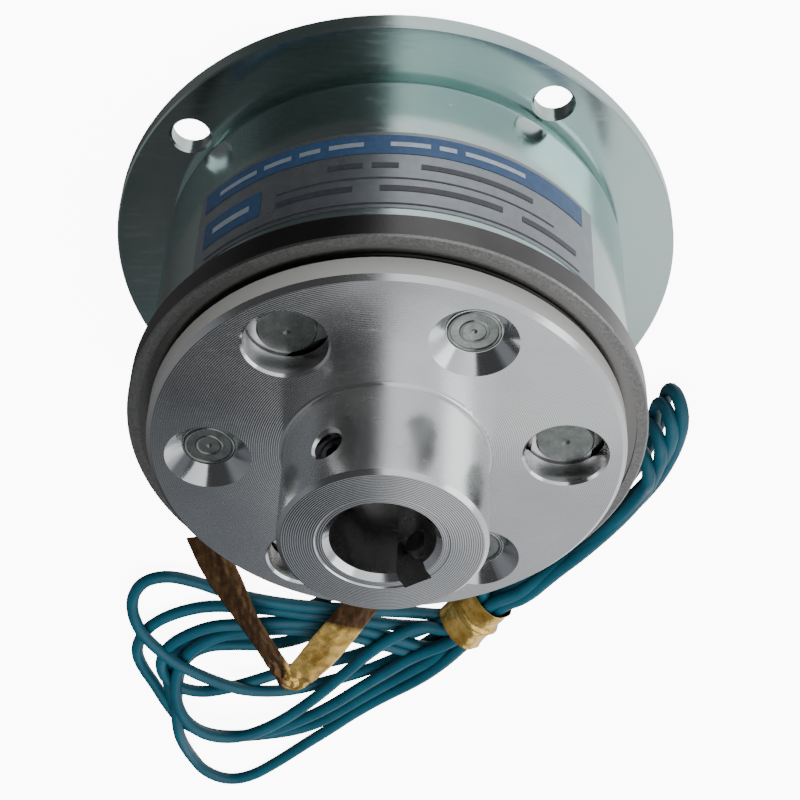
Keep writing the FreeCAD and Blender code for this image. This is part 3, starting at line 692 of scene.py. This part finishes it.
# The middle of the strip as (x, y, height, width), and the place in the list of the point of the V.
RIBBON_LINE = (
    (0.0366, 0.0728, 0.0086, 0.0072), (0.0344, 0.0800, 0.0090, 0.0076), (0.0322, 0.0866, 0.0092, 0.0073),
    (0.0300, 0.0925, 0.0094, 0.0060), (0.0279, 0.0982, 0.0096, 0.0050), (0.0251, 0.1052, 0.0094, 0.0045),
    (0.0220, 0.1132, 0.0092, 0.0047), (0.0187, 0.1208, 0.0088, 0.0060), (0.0166, 0.1170, 0.0094, 0.0070),
    (0.0138, 0.1120, 0.0096, 0.0078), (0.0109, 0.1062, 0.0096, 0.0082), (0.0080, 0.1006, 0.0094, 0.0079),
    (0.0034, 0.0912, 0.0092, 0.0074),
)
RIBBON_POINT = 7


def foil_ribbon(material):
    """A loose strip bent in a V on top of the loops, creased along its length and crumpled at the point."""
    steps, columns = 10, 19
    line = []
    for a, b in zip(RIBBON_LINE, RIBBON_LINE[1:]):
        for k in range(steps):
            line.append([p + (q - p) * k / steps for p, q in zip(a, b)])
    line.append(list(RIBBON_LINE[-1]))
    points = []
    for i, (x, y, z, width) in enumerate(line):
        after = Vector(line[min(i + 2, len(line) - 1)][:2])
        before = Vector(line[max(i - 2, 0)][:2])
        run = (after - before).normalized()
        near_point = math.exp(-((i / steps - RIBBON_POINT) / 0.8) ** 2)
        for j in range(columns):
            v = j / (columns - 1) - 0.5
            side = Vector((run.y, -run.x)) * v * width
            past_point = i / steps > RIBBON_POINT
            roof = 0.0006 * (0.5 - abs(v - 0.1)) if past_point else 0.0003 * (0.5 - abs(v + 0.15))
            spot = Vector((x * 420, y * 420, v * 3))
            crumple = (0.00012 + 0.0012 * near_point) * noise.noise(spot * 1.4)
            grain = 0.00010 * noise.noise(spot * 4)
            points.append((x + side.x, y + side.y, z + roof + (crumple + grain)))
    ribbon = mesh_piece("foil_ribbon", points, grid_faces(len(line), columns), material)
    thicken(ribbon, 0.00014)
    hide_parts("tie_ribbon")
    return ribbon


# ---------------------------------------------------------------- the printed label

INK_LIFT = 0.00008
TOP_INK_LIFT = 0.00012
DEGREES_PER_STEP = 2


def print_patch(name, boxes, material, lift=INK_LIFT):
    """Ink on the label: each box is (first angle, last angle, low z, high z) in degrees and metres."""
    points, faces = [], []
    for first, last, low, high in boxes:
        steps = max(2, round(abs(last - first) / DEGREES_PER_STEP) + 1)
        base = len(points)
        for k in range(steps):
            angle = math.radians(first + (last - first) * k / (steps - 1))
            for z in (low, high):
                points.append(((LABEL_R + lift) * math.cos(angle), (LABEL_R + lift) * math.sin(angle), z))
        for k in range(steps - 1):
            a = base + 2 * k
            faces.append((a, a + 2, a + 3, a + 1))
    return mesh_piece(name, points, faces, material)


def bars(first, words, low, high):
    """A row of plain bars that stands for a line of print: words are (length, gap) pairs in degrees."""
    boxes = []
    angle = first
    for length, gap in words:
        boxes.append((angle, angle - length, low, high))
        angle -= length + gap
    return boxes


def label_print():
    blue = ink("ink_blue", (0.036, 0.085, 0.19), (0.046, 0.105, 0.23), 0.35)
    dark = ink("ink_dark", (0.030, 0.034, 0.045), (0.045, 0.048, 0.06))
    white = ink("ink_white", (0.40, 0.46, 0.53), (0.47, 0.53, 0.60), 0.6)
    low = LABEL_LOW
    print_patch("label_band", [(-40, -138, low + 0.0009, low + 0.0056)], blue)
    words = ((11, 2), (7, 2), (5, 2), (8, 6), (9, 2), (4, 2), (15, 0))
    print_patch("label_band_bars", bars(-45, words, low + 0.0027, low + 0.0038), white, TOP_INK_LIFT)
    rows = bars(-74, ((8, 2), (6, 5), (27, 0)), low + 0.0079, low + 0.0091)
    rows += bars(-62, ((18, 6), (28, 5), (16, 0)), low + 0.0135, low + 0.0148)
    print_patch("label_bars", rows, dark)
    rules = [(-62, -128, low + 0.0115, low + 0.0118), (-42, -136, LABEL_HIGH - 0.0011, LABEL_HIGH - 0.0008)]
    print_patch("label_rules", rules, dark)
    print_patch("label_block", [(-41, -58, low + 0.0090, low + 0.0150)], blue)
    print_patch("label_block_bar", [(-44, -55, low + 0.0113, low + 0.0127)], white, TOP_INK_LIFT)


# ---------------------------------------------------------------- assembly

camera()
floor()
world()
lights()
dress_nodes()
foil = gold_foil()
leads([foil_band(foil), foil_ribbon(foil)])
label_print()
